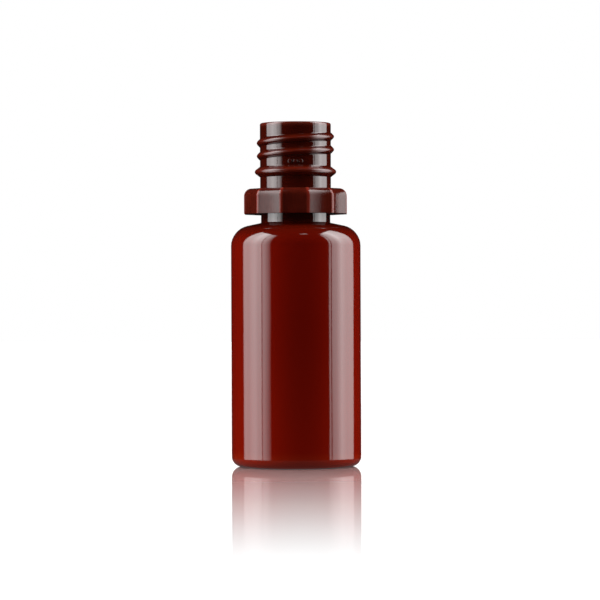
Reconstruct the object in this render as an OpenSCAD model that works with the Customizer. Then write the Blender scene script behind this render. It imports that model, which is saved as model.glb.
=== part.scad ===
// Small round squeeze bottle, 13 mm threaded neck, with a cogged ring pressed on the neck.
// Origin: centre of the base, on the surface the bottle stands on. +Z runs up the neck.

/* [Body] */
// Outer diameter of the straight body wall
body_d = 21.9; // [20:0.1:30]
// Height over everything, from the standing ring to the rim
total_h = 58; // [56:0.5:80]
// Thickness of the body wall
wall = 0.6; // [0.5:0.1:1]
// Radius between the base and the body wall
heel_r = 1.7; // [1.2:0.1:3]
// Thickness of the base
base_t = 1; // [0.8:0.1:1.4]
// Height that the middle of the base is pushed up
push_up = 1.4; // [0.6:0.1:2]
// Inner edge of the flat ring that the bottle stands on, as a diameter
stand_d = 14; // [12:0.5:15]
// Diameter of the round gate mark in the middle of the base
gate_d = 2.6; // [2:0.1:4]
// Depth of the gate mark
gate_h = 0.35; // [0.2:0.05:0.5]

/* [Shoulder] */
// Radius of the corner between the body wall and the shoulder
shoulder_r = 3.4; // [2.5:0.1:4]
// Slope of the shoulder, in degrees above level
shoulder_slope = 12; // [6:1:14]
// Height at which the straight body wall ends
shoulder_z = 37.3; // [36:0.05:38]
// Thickness of the shoulder where it meets the neck
shoulder_t = 1.1; // [0.9:0.1:1.4]

/* [Neck] */
// Outer diameter of the neck above the cogged ring
neck_d = 12; // [11.8:0.02:12.2]
// Outer diameter of the neck under the cogged ring
throat_d = 11.7; // [11.4:0.02:11.8]
// Diameter of the bore through the neck
bore_d = 9; // [8.6:0.1:9.4]
// Rounding of the outer edge of the rim
rim_r = 0.3; // [0.2:0.05:0.4]
// Bevel of the inner edge of the rim
rim_bevel = 0.2; // [0.1:0.05:0.3]

/* [Thread and bead] */
// Diameter over the crest of the thread
thread_d = 13.1; // [12.8:0.05:13.2]
// Rise of the thread in one turn
thread_pitch = 2.2; // [2:0.1:2.6]
// Number of turns, run-in and run-out included
thread_turns = 2; // [1.5:0.25:2]
// Width of the thread at its foot, just inside the neck's surface
thread_w = 1.5; // [1.2:0.05:1.6]
// Distance from the rim down to the start of the thread
thread_drop = 1.8; // [1.5:0.05:2]
// Direction from the axis in which the thread starts, in degrees from +X
thread_start = 80; // [0:5:355]
// Diameter over the bead under the thread
bead_d = 13.8; // [13.2:0.1:14]
// Height of the bead
bead_h = 1.8; // [1.5:0.05:2.2]
// Distance from the rim down to the middle of the bead
bead_drop = 8.25; // [8.2:0.05:8.6]
// Diameter of each raised dot above the bead
dot_d = 0.7; // [0.5:0.05:0.9]
// Number of raised dots in the row
dot_count = 3; // [1:1:5]

/* [Cogged ring] */
// Diameter over the cogs
ring_d = 17.9; // [17:0.1:19]
// Height of the ring
ring_h = 4.3; // [4:0.1:4.6]
// Distance from the rim down to the top of the ring
ring_drop = 11.1; // [10.8:0.1:11.2]
// Number of scallops round the ring
cog_count = 12; // [11:1:14]
// Depth of each scallop
scallop_depth = 0.4; // [0.35:0.05:0.8]
// Width of the land left on the crest of each cog
cog_land = 0.2; // [0.15:0.05:0.5]
// Direction of the first cog, in degrees from +X
cog_turn = 14; // [0:1:29]
// Rounding of the top edge of the ring
ring_round = 1.3; // [0.8:0.1:1.5]

/* [Hidden] */
$fn = 96;
eps = 0.01;
overlap = 0.3;
arc_steps = 8;
shell_color = [0.45, 0.07, 0.03];
ring_color = [0.38, 0.08, 0.05];

body_r = body_d / 2;
throat_r = throat_d / 2;
neck_r = neck_d / 2;
bore_r = bore_d / 2;
stand_r = stand_d / 2;
bead_z = total_h - bead_drop;
ring_top = total_h - ring_drop;
ring_z = ring_top - ring_h;
ring_r = ring_d / 2;

// The shoulder's cone leaves its corner arc where the arc has the cone's slope
corner_x = body_r - shoulder_r;
cone_x = corner_x + shoulder_r * sin(shoulder_slope);
cone_z = shoulder_z + shoulder_r * cos(shoulder_slope);
throat_z = cone_z + (cone_x - throat_r) * tan(shoulder_slope);

// Inside: the bore ends in a small flare under the shoulder, whose wall thins towards the body
inner_r = body_r - wall;
inner_corner_r = shoulder_r - wall;
flare_r = 0.8;
flare_z = throat_z - shoulder_t - flare_r;
inner_heel_r = heel_r - wall;

thread_r = thread_d / 2;
thread_fade = 50;
thread_step = 7.5;
thread_sink = 0.1;

bead_r = bead_d / 2;
bead_round = 0.45;

// Raised dots: how far they stand out, their spacing and their height above the bead
dot_rise = 0.12;
dot_pitch = 1.3 * dot_d;
dot_gap = 0.7;

// Crest radius of a cog, and the cutter that leaves the wanted land beside each scallop
scallop_r = ring_r - scallop_depth;
half_step = 180 / cog_count;
land_angle = asin(cog_land / 2 / ring_r);
edge_x = ring_r * cos(half_step - land_angle);
edge_y = ring_r * sin(half_step - land_angle);
cutter_r = (pow(edge_x - scallop_r, 2) + pow(edge_y, 2)) / 2 / (edge_x - scallop_r);

// Points of a circular arc about [x, z], from angle a to angle b
function arc(x, z, r, a, b, steps = arc_steps) =
    [for (i = [0:steps]) let (t = a + (b - a) * i / steps) [x + r * cos(t), z + r * sin(t)]];

// Radius and centre height of the spherical dome that lifts the middle of the base
dome_r = (stand_r * stand_r + push_up * push_up) / 2 / push_up;
dome_edge = asin(stand_r / dome_r);

// Half section of the bottle, outside from the base up to the rim and back down inside
module shell_section() {
    polygon(concat(
        arc(0, push_up - dome_r, dome_r, 90, 90 - dome_edge),
        arc(body_r - heel_r, heel_r, heel_r, -90, 0),
        arc(corner_x, shoulder_z, shoulder_r, 0, 90 - shoulder_slope),
        [[throat_r, throat_z], [throat_r, ring_z + eps], [neck_r, ring_z + eps]],
        arc(neck_r - rim_r, total_h - rim_r, rim_r, 0, 90, 4),
        [[bore_r + rim_bevel, total_h], [bore_r, total_h - rim_bevel]],
        arc(bore_r + flare_r, flare_z + flare_r, flare_r, 180, 270 - shoulder_slope),
        arc(corner_x, shoulder_z, inner_corner_r, 90 - shoulder_slope, 0),
        arc(inner_r - inner_heel_r, base_t + inner_heel_r, inner_heel_r, 0, -90),
        arc(0, push_up - dome_r + base_t, dome_r, 90 - dome_edge, 90)
    ));
}

// Section of the thread: gentle upper flank, steeper lower flank, narrow round crest
thread_form = [[-0.5, 0], [-0.3, 0.62], [-0.14, 0.95], [0, 1], [0.16, 0.9], [0.5, 0]];

// Height of the ridge along the thread, from 0 at its ends to 1
function fade(t, last) = sin(90 * min(1, t / thread_fade, (last - t) / thread_fade));

// One ridge that climbs round the neck, swept as rings of the section above
module thread_ridge() {
    last = 360 * thread_turns;
    rings = round(last / thread_step);
    size = len(thread_form) + 2;
    top_z = total_h - thread_drop;
    reach = thread_r - neck_r;
    foot_r = neck_r - thread_sink;
    points = [for (i = [0:rings]) let (
            t = i * thread_step,
            lift = max(0.04, fade(t, last)),
            turn = thread_start - t,
            mid_z = top_z - thread_pitch * t / 360,
            back = neck_r - overlap,
            half = thread_w * (0.35 + 0.65 * lift)
        )
        each concat(
            [[back * cos(turn), back * sin(turn), mid_z - half / 2]],
            [for (p = thread_form) let (r = foot_r + (neck_r + reach * lift - foot_r) * p[1])
                [r * cos(turn), r * sin(turn), mid_z + half * p[0]]],
            [[back * cos(turn), back * sin(turn), mid_z + half / 2]]
        )];
    sides = [for (i = [0:rings - 1], k = [0:size - 1]) let (
            a = i * size + k,
            b = i * size + (k + 1) % size
        )
        each [[a, a + size, b], [b, a + size, b + size]]];
    start_cap = [for (k = [1:size - 2]) [0, k, k + 1]];
    end_cap = [for (k = [1:size - 2]) [rings * size, rings * size + k + 1, rings * size + k]];
    polyhedron(points, concat(sides, start_cap, end_cap));
}

// Rounded bead that a closure snaps over
module bead() {
    translate([0, 0, bead_z])
        rotate_extrude()
            polygon(concat(
                [[neck_r - overlap, -bead_h / 2], [neck_r, -bead_h / 2]],
                arc(bead_r - bead_round, 0, bead_round, -60, 60),
                [[neck_r, bead_h / 2], [neck_r - overlap, bead_h / 2]]
            ));
}

// Row of small raised dots on the front of the neck, just above the bead
module mould_dots() {
    for (i = [0:dot_count - 1])
        rotate([0, 0, -90 + (i - (dot_count - 1) / 2) * dot_pitch / neck_r * 180 / PI])
            translate([neck_r - overlap, 0, bead_z + bead_h / 2 + dot_gap])
                rotate([0, 90, 0])
                    cylinder(h = overlap + dot_rise, d = dot_d, $fn = 32);
}

// Round gate mark left in the middle of the base, inside the push-up
module gate_mark() {
    translate([0, 0, push_up - gate_h])
        cylinder(h = gate_h + overlap, d = gate_d);
}

module bottle_shell() {
    color(shell_color)
        union() {
            rotate_extrude() shell_section();
            thread_ridge();
            bead();
            mould_dots();
            gate_mark();
        }
}

// Solid ring before the scallops are cut, with its top edge rounded
module ring_blank() {
    rotate_extrude()
        polygon(concat(
            [[neck_r, ring_z], [ring_r, ring_z]],
            arc(ring_r - ring_round, ring_top - ring_round, ring_round, 0, 90),
            [[neck_r, ring_top]]
        ));
}

module cog_ring() {
    color(ring_color)
        difference() {
            ring_blank();
            for (i = [0:cog_count - 1])
                rotate([0, 0, cog_turn + (i + 0.5) * 2 * half_step])
                    translate([scallop_r + cutter_r, 0, ring_z - 1])
                        cylinder(h = ring_h + 2, r = cutter_r);
        }
}

bottle_shell();
cog_ring();
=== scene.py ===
import math
import bpy
import bmesh
from mathutils import Matrix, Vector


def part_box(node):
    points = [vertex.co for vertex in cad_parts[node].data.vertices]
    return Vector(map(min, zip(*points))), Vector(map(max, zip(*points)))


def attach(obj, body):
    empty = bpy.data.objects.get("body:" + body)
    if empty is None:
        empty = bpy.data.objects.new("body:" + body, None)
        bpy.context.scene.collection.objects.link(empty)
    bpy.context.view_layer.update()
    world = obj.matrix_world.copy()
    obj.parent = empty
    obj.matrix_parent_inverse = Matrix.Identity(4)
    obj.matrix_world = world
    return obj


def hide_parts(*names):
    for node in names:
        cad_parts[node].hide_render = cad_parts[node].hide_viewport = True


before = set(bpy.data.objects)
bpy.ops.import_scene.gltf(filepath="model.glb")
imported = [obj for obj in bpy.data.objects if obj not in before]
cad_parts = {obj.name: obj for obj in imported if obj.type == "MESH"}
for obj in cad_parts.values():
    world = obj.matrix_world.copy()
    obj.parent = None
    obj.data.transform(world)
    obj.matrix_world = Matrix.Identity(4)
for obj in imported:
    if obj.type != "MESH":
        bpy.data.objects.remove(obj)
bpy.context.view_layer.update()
scene = bpy.context.scene
mm = 0.001  # sizes of the bottle, the ring and the camera are in millimetres, the rest in metres


# ---- a small wrapper so that shader maths reads as sums ----
class Socket:
    def __init__(self, tree, link):
        self.tree = tree
        self.link = link

    def maths(self, operation, *values):
        return self.tree.add("ShaderNodeMath", {"operation": operation}, *values)

    def __add__(self, other): return self.maths("ADD", self, other)
    def __radd__(self, other): return self.maths("ADD", other, self)
    def __sub__(self, other): return self.maths("SUBTRACT", self, other)
    def __rsub__(self, other): return self.maths("SUBTRACT", other, self)
    def __mul__(self, other): return self.maths("MULTIPLY", self, other)
    def __rmul__(self, other): return self.maths("MULTIPLY", other, self)
    def __truediv__(self, other): return self.maths("DIVIDE", self, other)
    def __pow__(self, other): return self.maths("POWER", self, other)

    def size(self): return self.maths("ABSOLUTE", self)
    def least(self, other): return self.maths("MINIMUM", self, other)
    def most(self, other): return self.maths("MAXIMUM", self, other)


class NodeTree:
    def __init__(self, tree):
        self.tree = tree
        self.tree.nodes.clear()

    # settings go first, then the sockets in order or by name
    def add(self, kind, settings=None, *values, out=0, **named):
        node = self.tree.nodes.new(kind)
        for key, value in (settings or {}).items():
            if key == "stops":
                self.setStops(node.color_ramp, value)
            else:
                setattr(node, key, value)
        for place, value in [*enumerate(values), *named.items()]:
            key = place.replace("_", " ") if isinstance(place, str) else place
            self.put(node.inputs[key], value)
        return Socket(self, node.outputs[out]) if node.outputs else node

    def put(self, socket, value):
        if isinstance(value, Socket):
            self.tree.links.new(value.link, socket)
        else:
            socket.default_value = value

    def setStops(self, ramp, stops):
        while len(ramp.elements) < len(stops):
            ramp.elements.new(0.5)
        for element, (place, colour) in zip(ramp.elements, stops):
            element.position = place
            element.color = (*colour, 1)

    # blend of two colours by a mask
    def mix(self, mask, a, b, blend="MIX"):
        node = self.tree.nodes.new("ShaderNodeMix")
        node.data_type, node.blend_type = "RGBA", blend
        for place, value in ((0, mask), (6, a), (7, b)):
            self.put(node.inputs[place], (*value, 1) if isinstance(value, tuple) else value)
        return Socket(self, node.outputs[2])

    # smooth step of a value from 0 at low to 1 at high
    def step(self, value, low, high):
        return self.add("ShaderNodeMapRange", {"interpolation_type": "SMOOTHSTEP"}, value, low, high)

    def noise(self, vector, scale, detail=2.0, rough=0.5):
        return self.add("ShaderNodeTexNoise", {}, Vector=vector, Scale=scale,
                        Detail=detail, Roughness=rough)

    # noise drawn out along Z by squeezing its Z coordinate
    def drawnNoise(self, vector, squeeze, scale, detail):
        drawn = self.add("ShaderNodeMapping", {}, vector, (0, 0, 0), (0, 0, 0), (1, 1, squeeze))
        return self.noise(drawn, scale, detail)

    def bump(self, height, distance, strength=1.0, normal=None):
        values = {"Height": height, "Distance": distance, "Strength": strength}
        if normal:
            values["Normal"] = normal
        return self.add("ShaderNodeBump", {}, **values)


def newMaterial(name):
    material = bpy.data.materials.new(name)
    material.use_nodes = True
    return material, NodeTree(material.node_tree)


def split(tree, vector):
    node = tree.tree.nodes.new("ShaderNodeSeparateXYZ")
    tree.put(node.inputs[0], vector)
    return [Socket(tree, output) for output in node.outputs]


# ---- mesh helpers ----
def finishPiece(name, bm, material, node, smooth=60):
    mesh = bpy.data.meshes.new(name)
    bm.to_mesh(mesh)
    bm.free()
    mesh.materials.append(material)
    mesh.shade_smooth()
    piece = bpy.data.objects.new(name, mesh)
    scene.collection.objects.link(piece)
    mesh.set_sharp_from_angle(angle=math.radians(smooth))
    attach(piece, "root")
    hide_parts(node)
    return piece


# a half section from corner points, each as (radius, height, rounding)
def drawSection(bm, corners):
    made = [bm.verts.new((r * mm, 0, z * mm)) for r, z, rounding in corners]
    for a, b in zip(made, made[1:]):
        bm.edges.new((a, b))
    for vert, (r, z, rounding) in zip(made, corners):
        if rounding:
            bmesh.ops.bevel(bm, geom=[vert], affect="VERTICES", offset=rounding * mm,
                            offset_type="OFFSET", segments=8, profile=0.5, material=-1)


def spinRound(bm, steps):
    bmesh.ops.spin(bm, geom=bm.verts[:] + bm.edges[:], cent=(0, 0, 0), axis=(0, 0, 1),
                   angle=math.tau, steps=steps, use_merge=True)
    bmesh.ops.remove_doubles(bm, verts=bm.verts[:], dist=0.0004 * mm)
    bmesh.ops.recalc_face_normals(bm, faces=bm.faces[:])


# ---- camera ----
cameraSet = {"distance": 500, "height": 28.1, "side": 0.68, "lens": 177.4, "roll": 0.22}


def makeCamera():
    data = bpy.data.cameras.new("camera")
    data.sensor_width = 36
    data.lens = cameraSet["lens"]
    data.clip_start, data.clip_end = 0.01, 20
    camera = bpy.data.objects.new("camera", data)
    camera.location = (cameraSet["side"] * mm, -cameraSet["distance"] * mm, cameraSet["height"] * mm)
    camera.rotation_euler = (math.radians(90), math.radians(cameraSet["roll"]), 0)
    scene.collection.objects.link(camera)
    scene.camera = camera


makeCamera()
print("camera placed")

# ---- bottle ----
low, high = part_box("bottle_shell")
ringLow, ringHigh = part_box("cog_ring")
bottle = {
    "bodyR": (high.x - low.x) / 2 / mm,
    "height": high.z / mm,
    "wall": 0.6,
    "heelR": 1.7,
    "baseThick": 1.0,
    "pushUp": 1.4,
    "standR": 7.0,
    "gateR": 1.3,
    "gateDepth": 0.35,
    "shoulderZ": 37.3,
    "shoulderR": 3.4,
    "slope": 12,
    "shoulderThick": 1.1,
    "throatR": 5.85,
    "neckR": 6.0,
    "boreR": 4.5,
    "threadR": 6.55,
    "threadPitch": 2.2,
    "threadTurns": 2,
    "threadDrop": 1.8,
    "threadStart": 80,
    "threadFade": 50,
    "threadHalf": 0.70,
    "threadPoint": 0.5,
    "beadR": 6.9,
    "beadDrop": 8.25,
    "beadHalf": 0.9,
    "beadRound": 0.45,
    "dotR": 0.35,
    "dotRise": 0.12,
    "dotPitch": 0.91,
    "dotZ": 51.35,
    "steps": 216,
    "neckRows": 220,
}
ring = {
    "low": ringLow.z / mm,
    "top": ringHigh.z / mm,
    "crestR": 8.95,
    "scallop": 0.4,
    "cogs": 12,
    "land": 0.2,
    "turn": 14,
    "round": 1.3,
    "bottomRound": 0.1,
    "crestEase": 0.10,
    "stepsPerCog": 60,
}


# how far the neck's surface stands out at a direction and a height: thread and bead, with soft feet
def neckRelief(direction, z):
    b = bottle
    reach = b["threadR"] - b["neckR"]
    rise = 0.0
    back = (math.radians(b["threadStart"]) - direction) % math.tau
    for lap in range(b["threadTurns"] + 1):
        t = math.degrees(back) + 360 * lap
        last = 360 * b["threadTurns"]
        if t > last:
            continue
        lift = math.sin(math.radians(90 * min(1, t / b["threadFade"], (last - t) / b["threadFade"])))
        middle = b["height"] - b["threadDrop"] - b["threadPitch"] * t / 360
        up = z - middle
        across = abs(up) / (b["threadHalf"] * (0.35 + 0.65 * lift))
        point = b["threadPoint"]
        shape = (math.hypot(1, point) - math.hypot(across, point)) / (math.hypot(1, point) - point)
        rise = max(rise, reach * lift * shape)
    return rise


def beadRelief(z):
    b = bottle
    up = abs(z - (b["height"] - b["beadDrop"]))
    edge = b["beadRound"] * math.sin(math.radians(60))  # where the round crest meets the flank
    reach = b["beadR"] - b["neckR"]
    foot = reach - b["beadRound"] * (1 - math.cos(math.radians(60)))
    if up <= edge:
        return reach - b["beadRound"] + math.sqrt(b["beadRound"] ** 2 - up ** 2)
    return max(0.0, foot * (b["beadHalf"] - up) / (b["beadHalf"] - edge))


# height of the domed underside at a radius
def domeZ(radius):
    b = bottle
    domeR = (b["standR"] ** 2 + b["pushUp"] ** 2) / 2 / b["pushUp"]
    return b["pushUp"] - domeR + math.sqrt(domeR ** 2 - radius ** 2)


# row of raised dots on the front of the neck
def addDots(bm):
    b = bottle
    for place in (-1, 0, 1):
        direction = math.radians(-90) + place * b["dotPitch"] / b["neckR"]
        made = bmesh.ops.create_cone(bm, cap_ends=True, segments=32, radius1=b["dotR"] * mm,
                                     radius2=b["dotR"] * mm, depth=2 * b["dotRise"] * mm)["verts"]
        edges = dict.fromkeys(e for v in made for e in v.link_edges)  # each once, in a fixed order
        front = [e for e in edges if all(v.co.z > 0 for v in e.verts)]
        bmesh.ops.bevel(bm, geom=front, affect="EDGES", offset=0.08 * mm, offset_type="OFFSET",
                        segments=4, profile=0.5, material=-1)
        # the bevel made new points, so the dot is picked up again by its place at the origin
        made = [v for v in bm.verts
                if math.hypot(v.co.x, v.co.y) < 0.4 * mm and abs(v.co.z) < 0.2 * mm]
        upright = Matrix.Rotation(math.radians(90), 3, "Y")
        bmesh.ops.rotate(bm, cent=(0, 0, 0), matrix=upright, verts=made)
        bmesh.ops.translate(bm, vec=(b["neckR"] * mm, 0, b["dotZ"] * mm), verts=made)
        bmesh.ops.rotate(bm, cent=(0, 0, 0), matrix=Matrix.Rotation(direction, 3, "Z"), verts=made)


def makeBottle(material):
    b = bottle
    slope = math.radians(b["slope"])
    cornerX = b["bodyR"] - b["shoulderR"]
    shoulderZ = b["shoulderZ"] + b["shoulderR"] * math.cos(slope)
    coneX = cornerX + b["shoulderR"] * math.sin(slope)
    throatZ = shoulderZ + (coneX - b["throatR"]) * math.tan(slope)
    cornerZ = shoulderZ - (b["bodyR"] - coneX) * math.tan(slope)
    innerR = b["bodyR"] - b["wall"]
    innerCornerR = b["shoulderR"] - b["wall"]
    innerConeX = cornerX + innerCornerR * math.sin(slope)
    innerConeZ = b["shoulderZ"] + innerCornerR * math.cos(slope)
    innerCorner = innerConeZ - (innerR - innerConeX) * math.tan(slope)
    flareZ = throatZ - b["shoulderThick"]
    # tangent length of the shoulder's corner, per radius
    turn = math.tan(math.radians(90) / 2 - slope / 2)
    gateZ = b["pushUp"] - b["gateDepth"]
    domeRows = [b["gateR"] + (b["standR"] - b["gateR"]) * i / 8 for i in range(8)]
    outside = [
        (0, gateZ, 0),
        (b["gateR"], gateZ, 0.08),
        *[(r, domeZ(r), 0) for r in domeRows],
        (b["standR"], 0, 0.2),
        (b["bodyR"], 0, b["heelR"]),
        (b["bodyR"], cornerZ, b["shoulderR"] * turn),
        (b["throatR"], throatZ, 0.12),
        (b["throatR"], ring["low"] + 0.3, 0),
        (b["neckR"] - 0.03, ring["low"] + 0.6, 0),
        (b["neckR"], b["height"], 0.3),
        (b["boreR"] + 0.1, b["height"], 0.1),
        (b["boreR"], b["height"] - 0.3, 0.1),
        (b["boreR"], flareZ, 0.8),
        (innerR, innerCorner, innerCornerR * turn),
        (innerR, b["baseThick"], b["heelR"] - b["wall"]),
        (b["standR"], b["baseThick"], 0.2),
        *[(r, domeZ(r) + b["baseThick"], 0) for r in reversed(domeRows)],
        (0, b["pushUp"] + b["baseThick"], 0),
    ]
    bm = bmesh.new()
    drawSection(bm, outside)
    zoneLow, zoneHigh = ring["top"] - 0.2, b["height"] - 0.35
    outer = b["neckR"] - 0.2
    # rows for the thread and the bead, only on the outside of the neck
    neckEdges = [e for e in bm.edges
                 if min(v.co.x for v in e.verts) > outer * mm
                 and max(v.co.z for v in e.verts) > zoneLow * mm
                 and e.calc_length() > 2 * mm]
    bmesh.ops.subdivide_edges(bm, edges=neckEdges, cuts=b["neckRows"])
    spinRound(bm, b["steps"])
    for vert in bm.verts:
        x, y, z = vert.co / mm
        radius = math.hypot(x, y)
        if radius > outer and zoneLow < z < zoneHigh + 0.3:
            direction = math.atan2(y, x)
            stand = max(neckRelief(direction, z), beadRelief(z))
            if stand > 0:
                vert.co.x *= (radius + stand) / radius
                vert.co.y *= (radius + stand) / radius
    addDots(bm)
    bmesh.ops.recalc_face_normals(bm, faces=bm.faces[:])
    return finishPiece("bottleShell", bm, material, "bottle_shell")


# ---- cogged ring ----
# radius of the scallop's own curve in a direction
def scallopRadius(direction):
    r = ring
    bottom = r["crestR"] - r["scallop"]
    half = math.pi / r["cogs"]
    landAngle = math.asin(r["land"] / 2 / r["crestR"])
    edge = (r["crestR"] * math.cos(half - landAngle), r["crestR"] * math.sin(half - landAngle))
    cutter = ((edge[0] - bottom) ** 2 + edge[1] ** 2) / 2 / (edge[0] - bottom)
    away = (direction - math.radians(r["turn"])) % (2 * half) - half
    centre = bottom + cutter
    return centre * math.cos(away) - math.sqrt(cutter ** 2 - (centre * math.sin(away)) ** 2)


# the lesser of two values, with the corner between them rounded off
def easedLeast(a, b, ease):
    gap = max(0.0, ease - abs(a - b)) / ease
    return min(a, b) - gap * gap * ease / 4


# how far the rounded top and bottom edges draw the side in at a height
def roundInset(z):
    r = ring
    up = max(0.0, z - (r["top"] - r["round"]))
    down = max(0.0, r["low"] + r["bottomRound"] - z)
    return (r["round"] - math.sqrt(max(0.0, r["round"] ** 2 - up ** 2))
            + r["bottomRound"] - math.sqrt(max(0.0, r["bottomRound"] ** 2 - down ** 2)))


def makeRing(material):
    r = ring
    inner = bottle["neckR"] - 0.05
    section = [
        (inner, r["low"], 0),
        (r["crestR"], r["low"], r["bottomRound"]),
        (r["crestR"], r["top"], r["round"]),
        (inner + 0.25, r["top"], 0),
        (inner, r["top"] - 0.06, 0),
    ]
    bm = bmesh.new()
    drawSection(bm, section)
    bm.edges.new((min(bm.verts, key=lambda v: (v.co.x, v.co.z)),
                  min(bm.verts, key=lambda v: (v.co.x, -v.co.z))))
    tall = [e for e in bm.edges if e.calc_length() > 0.4 * mm]
    bmesh.ops.subdivide_edges(bm, edges=tall, cuts=6)
    spinRound(bm, r["cogs"] * r["stepsPerCog"])
    for vert in bm.verts:
        x, y, z = vert.co / mm
        radius = math.hypot(x, y)
        widest = r["crestR"] - roundInset(z)
        drop = r["crestR"] - easedLeast(r["crestR"], scallopRadius(math.atan2(y, x)), r["crestEase"])
        share = max(0.0, (radius - inner) / (widest - inner))
        vert.co.x *= (radius - drop * share) / radius
        vert.co.y *= (radius - drop * share) / radius
    return finishPiece("cogRing", bm, material, "cog_ring", smooth=50)


# ---- materials ----
glossSet = {
    "body": (0.186, 0.0042, 0.0004),
    # painted light: lighter body colour near the bottom, standing in for light bounced up from the
    # white table
    "bodyPaintedBounce": (0.215, 0.0055, 0.0006),
    "cloud": (0.165, 0.0036, 0.0003),
    # neck colour: partly the thick wall's own deeper red, partly painted shade, as the thick wall
    # lets less light through
    "neck": (0.050, 0.0034, 0.0008),
    # painted light: lighter colour at the heel, a painted glow of light from the white table below
    "heelPaintedGlow": (0.240, 0.0110, 0.0020),
    "ridge": (0.105, 0.0070, 0.0014),
    # painted light: lighter colour on the thin rim of the mouth, a painted glow and highlight along
    # its edge
    "rim": (0.140, 0.0190, 0.0110),
    "roughness": 0.055,
    "ridgeRoughness": 0.22,
    "neckCoat": 0.30,
    "ior": 1.57,
    "paintedBounceFade": (0.006, 0.026),
    "heelGlowFade": (0.0030, 0.0012),
    "neckFade": (0.0365, 0.0420),
    "ridgeRadius": (0.0060, 0.0066),
    "ridgeFrom": (0.0475, 0.0480),
    "rimFade": (0.05715, 0.05790),
    "seamHalf": (0.00002, 0.00011),
}
satinSet = {
    "colour": (0.026, 0.0026, 0.0012),
    "light": (0.125, 0.0120, 0.0060),
    # painted light: lighter colour along the cog crests, a painted glow of light through the thin
    # crests
    "crest": (0.200, 0.0200, 0.0110),
    "roughness": 0.085,
    "ior": 1.40,
}


def makeGlossMaterial():
    g = glossSet
    material, tree = newMaterial("redPetGloss")
    place = tree.add("ShaderNodeTexCoord", {}, out=3)
    x, y, z = split(tree, place)
    cloud = tree.noise(place, 90, 3)
    # painted light: the body grows lighter towards the bottom, standing in for light bounced up from
    # the white table
    shade = tree.mix(tree.step(z, *g["paintedBounceFade"]), g["bodyPaintedBounce"], g["body"])
    shade = tree.mix(cloud * 0.35, shade, g["cloud"])
    # painted light: the heel is lighter, a painted glow where light from the white table reaches the
    # curved heel
    shade = tree.mix(tree.step(z, *g["heelGlowFade"]), shade, g["heelPaintedGlow"])
    # darker neck and top of the shoulder: partly the thick wall's own deeper red, partly painted
    # shade, as the thick wall lets less light through than the thin body wall and the ring shades
    # the throat
    neck = tree.step(z, *g["neckFade"])
    shade = tree.mix(neck, shade, g["neck"])
    # thread and bead let more light through than the wall behind them
    radius = (x * x + y * y) ** 0.5
    ridge = tree.step(radius, *g["ridgeRadius"]) * tree.step(z, *g["ridgeFrom"])
    shade = tree.mix(ridge, shade, g["ridge"])
    # painted light: the thin rim of the mouth is lighter, a painted glow and highlight along its
    # edge
    shade = tree.mix(tree.step(z, *g["rimFade"]), shade, g["rim"])
    wave = tree.drawnNoise(place, 0.35, 160, 1)
    fine = tree.noise(place, 2600, 2)
    streak = tree.drawnNoise(place, 0.03, 3000, 2)
    # parting line of the mould, a hair proud on both sides
    seam = 1 - tree.step(y.size(), *g["seamHalf"])
    normal = tree.bump(seam, 0.00003, 0.5)
    normal = tree.bump(wave, 0.00010, 0.5, normal)
    normal = tree.bump(fine, 0.000004, 0.35, normal)
    normal = tree.bump(streak * neck, 0.000012, 0.5, normal)
    extra = g["ridgeRoughness"] - g["roughness"]
    rough = g["roughness"] + 0.03 * cloud + extra * ridge
    coat = g["neckCoat"] * neck * (1 - ridge)  # the neck's plain wall is the glossiest
    shader = tree.add("ShaderNodeBsdfPrincipled", {}, Base_Color=shade, Roughness=rough,
                      IOR=g["ior"], Coat_Weight=coat, Normal=normal)
    tree.add("ShaderNodeOutputMaterial", {}, shader)
    return material


def makeSatinMaterial():
    material, tree = newMaterial("redPetSatin")
    place = tree.add("ShaderNodeTexCoord", {}, out=3)
    x, y, z = split(tree, place)
    # 1 along the crest of each cog, falling to 0 in the middle of each scallop
    turned = tree.add("ShaderNodeMath", {"operation": "ARCTAN2"}, y, x) - math.radians(ring["turn"])
    crest = tree.add("ShaderNodeMath", {"operation": "COSINE"}, turned * ring["cogs"]) * 0.5 + 0.5
    cloud = tree.noise(place, 420, 3)
    streak = tree.drawnNoise(place, 0.06, 3600, 2)
    shade = tree.mix(cloud * 0.6 + streak * 0.4, satinSet["colour"], satinSet["light"])
    # painted light: the cog crests are lighter, a painted glow of light passing through the thin
    # crests and catching on them
    shade = tree.mix(tree.step(crest, 0.93, 1.0), shade, satinSet["crest"])
    grain = tree.noise(place, 3600, 3, 0.6)
    normal = tree.bump(streak, 0.00002, 0.5)
    normal = tree.bump(grain, 0.00003, 0.5, normal)
    rough = satinSet["roughness"] + 0.12 * (grain - 0.5)
    shader = tree.add("ShaderNodeBsdfPrincipled", {}, Base_Color=shade, Roughness=rough,
                      IOR=satinSet["ior"], Normal=normal)
    tree.add("ShaderNodeOutputMaterial", {}, shader)
    return material


bottlePiece = makeBottle(makeGlossMaterial())
print("bottle made,", len(bottlePiece.data.polygons), "faces")
ringPiece = makeRing(makeSatinMaterial())
print("ring made,", len(ringPiece.data.polygons), "faces")

# ---- table and lights ----
studio = {
    "floorSize": 3.0,
    "floorWhite": 0.97,
    "floorTint": (0.97, 0.66, 0.64),
    "mirrorShare": 0.78,
    "mirrorReach": 0.190,
    "mirrorRough": 0.025,
    "cardSize": 0.016,
    "cardGlow": 0.09,
    "bounceSize": 0.030,
    "bounceGlow": 0.26,
    "domeSize": 1.9,
    "domeGlow": 1.50,
    "dark": 0.006,
}


def stagePiece(name, bm, material):
    mesh = bpy.data.meshes.new(name)
    bm.to_mesh(mesh)
    bm.free()
    mesh.materials.append(material)
    thing = bpy.data.objects.new(name, mesh)
    scene.collection.objects.link(thing)
    return thing


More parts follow.
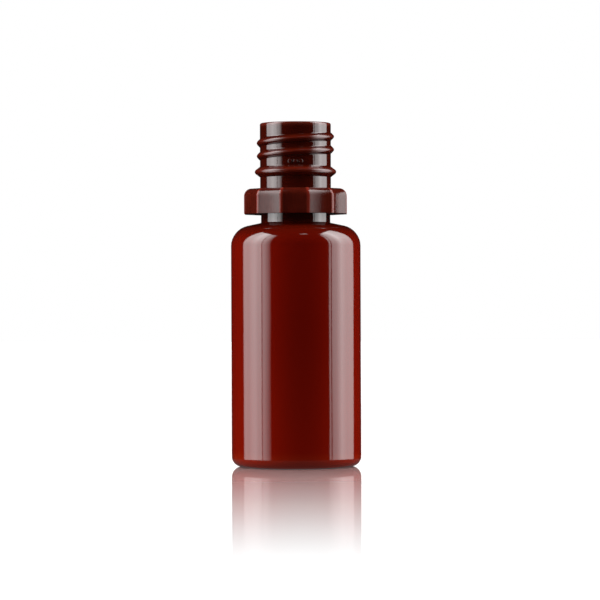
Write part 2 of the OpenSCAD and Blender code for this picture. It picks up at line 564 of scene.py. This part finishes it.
# white table that mirrors the bottle, less and less further away; the bottle doesn't see it
def makeFloor():
    bm = bmesh.new()
    bmesh.ops.create_grid(bm, x_segments=1, y_segments=1, size=studio["floorSize"] / 2)
    material, tree = newMaterial("floorWhite")
    shade = (studio["floorWhite"],) * 3 + (1,)
    x, y, z = split(tree, tree.add("ShaderNodeTexCoord", {}, out=3))
    away = ((x * x + y * y) ** 0.5 / studio["mirrorReach"]).least(1)
    share = (1 - away ** 1.6) * studio["mirrorShare"]
    # red light that comes through the bottle tints the white close to it
    tint = tree.mix(tree.step(away, 0.0, 0.95), studio["floorTint"], shade[:3])
    pale = tree.add("ShaderNodeBsdfDiffuse", {}, tint)
    mirror = tree.add("ShaderNodeBsdfGlossy", {}, shade, studio["mirrorRough"])
    shader = tree.add("ShaderNodeMixShader", {}, share, pale, mirror)
    tree.add("ShaderNodeOutputMaterial", {}, shader)
    floor = stagePiece("floor", bm, material)
    floor.location.z = -0.00002
    floor.visible_glossy = floor.visible_diffuse = False
    return floor


# discs just under the table: one is only seen in the gloss of the heel, the wider one only lights it
def makeCard(name, size, glow, mirrored):
    bm = bmesh.new()
    bmesh.ops.create_circle(bm, cap_ends=True, segments=64, radius=size)
    material, tree = newMaterial(name)
    light = tree.add("ShaderNodeEmission", {}, (1, 1, 1, 1), glow)
    tree.add("ShaderNodeOutputMaterial", {}, light)
    card = stagePiece(name, bm, material)
    card.location.z = -0.0001 if mirrored else -0.0002
    card.visible_camera = False
    card.visible_glossy, card.visible_diffuse = mirrored, not mirrored


# white room that only the floor receives light from
def makeDome(floor):
    bm = bmesh.new()
    bmesh.ops.create_icosphere(bm, subdivisions=3, radius=studio["domeSize"])
    material, tree = newMaterial("whiteRoom")
    glow = tree.add("ShaderNodeEmission", {}, (1, 1, 1, 1), studio["domeGlow"])
    clear = tree.add("ShaderNodeBsdfTransparent", {})
    both = tree.add("ShaderNodeAddShader", {}, glow, clear)
    tree.add("ShaderNodeOutputMaterial", {}, both)
    dome = stagePiece("whiteRoom", bm, material)
    dome.visible_camera = False
    lit = bpy.data.collections.new("litByRoom")
    lit.objects.link(floor)
    dome.light_linking.receiver_collection = lit


# azimuth 0 is towards the camera and grows towards +X, low and high are heights in metres,
# and glow is the strength across the panel, left to right
panels = {
    "leftBox": {"from": -106.4, "to": -63.1, "low": -0.5, "high": 0.85,
                "glow": (2.6, 3.3, 3.5, 4.5, 5.1, 4.3, 4.5)},
    "leftCard": {"from": -61.5, "to": -45.0, "low": -0.5, "high": 0.75,
                 "glow": (3.4, 2.9, 1.8, 0.5)},
    "rightCard": {"from": 60.3, "to": 64.0, "low": -0.5, "high": 0.7,
                  "glow": (2.4, 2.7)},
    "rightBox": {"from": 66.0, "to": 122.5, "low": -0.5, "high": 0.95,
                 "glow": (2.8, 3.3, 5.3, 3.8, 3.1, 2.2)},
}
panelDistance = 0.55  # in metres, for the top light too
# small light high above the front, for the short dash on the shoulder
topLight = {"azimuth": 24, "elevation": 62.5, "wide": 0.095, "deep": 0.040, "glow": 3.0}


# the lights reach the bottle and its ring only, so that the table stays evenly white
litByPanels = bpy.data.collections.new("litByPanels")
litByPanels.objects.link(bottlePiece)
litByPanels.objects.link(ringPiece)


def lightBottleOnly(light):
    light.light_linking.receiver_collection = litByPanels


def makePanel(name, p):
    middle = math.radians((p["from"] + p["to"]) / 2)
    half = panelDistance * math.tan(math.radians(p["to"] - p["from"]) / 2)
    centre = (p["low"] + p["high"]) / 2
    bm = bmesh.new()
    bmesh.ops.create_grid(bm, x_segments=1, y_segments=1, size=1)
    bmesh.ops.scale(bm, vec=(half, (p["high"] - p["low"]) / 2, 1), verts=bm.verts)
    upright = Matrix.Rotation(math.radians(90), 3, "X")
    bmesh.ops.rotate(bm, cent=(0, 0, 0), matrix=upright, verts=bm.verts)
    material, tree = newMaterial(name)
    x, y, z = split(tree, tree.add("ShaderNodeTexCoord", {}, out=3))
    across = x / (2 * half) + 0.5
    top = max(p["glow"])
    stops = [(i / (len(p["glow"]) - 1), (g / top,) * 3) for i, g in enumerate(p["glow"])]
    level = tree.add("ShaderNodeValToRGB", {"stops": stops}, across)
    front = tree.add("ShaderNodeNewGeometry", {}, out=6)  # 1 on the side that faces the bottle
    rise = tree.step(z + centre, -0.15, 0.5)  # brighter towards the top
    glow = tree.add("ShaderNodeEmission", {}, level, front * (rise * 0.75 + 0.85) * top)
    tree.add("ShaderNodeOutputMaterial", {}, glow)
    panel = stagePiece(name, bm, material)
    panel.location = (math.sin(middle) * panelDistance, -math.cos(middle) * panelDistance, centre)
    panel.rotation_euler = (0, 0, middle)
    panel.visible_camera = False
    lightBottleOnly(panel)


def makeTopLight():
    t = topLight
    bm = bmesh.new()
    bmesh.ops.create_grid(bm, x_segments=1, y_segments=1, size=0.5)
    bmesh.ops.scale(bm, vec=(t["wide"], t["deep"], 1), verts=bm.verts)
    material, tree = newMaterial("topLight")
    glow = tree.add("ShaderNodeEmission", {}, (1, 1, 1, 1), t["glow"])
    tree.add("ShaderNodeOutputMaterial", {}, glow)
    light = stagePiece("topLight", bm, material)
    across, up = math.radians(t["azimuth"]), math.radians(t["elevation"])
    light.location = (panelDistance * math.cos(up) * math.sin(across),
                      -panelDistance * math.cos(up) * math.cos(across),
                      bottle["shoulderZ"] * mm + panelDistance * math.sin(up))
    light.rotation_euler = (math.radians(90) - up, 0, across)
    light.visible_camera = False
    lightBottleOnly(light)


def makeWorld():
    world = bpy.data.worlds.new("studio")
    scene.world = world
    world.use_nodes = True
    tree = NodeTree(world.node_tree)
    seen = tree.add("ShaderNodeLightPath", {}, out=0)
    strength = seen.most(studio["dark"])
    shader = tree.add("ShaderNodeBackground", {}, (1, 1, 1, 1), strength)
    tree.add("ShaderNodeOutputWorld", {}, shader)


makeDome(makeFloor())
makeCard("card", studio["cardSize"], studio["cardGlow"], True)
makeCard("bounce", studio["bounceSize"], studio["bounceGlow"], False)
makeWorld()
for name, panel in panels.items():
    makePanel(name, panel)
makeTopLight()
print("studio set")

scene.view_settings.view_transform = "Standard"
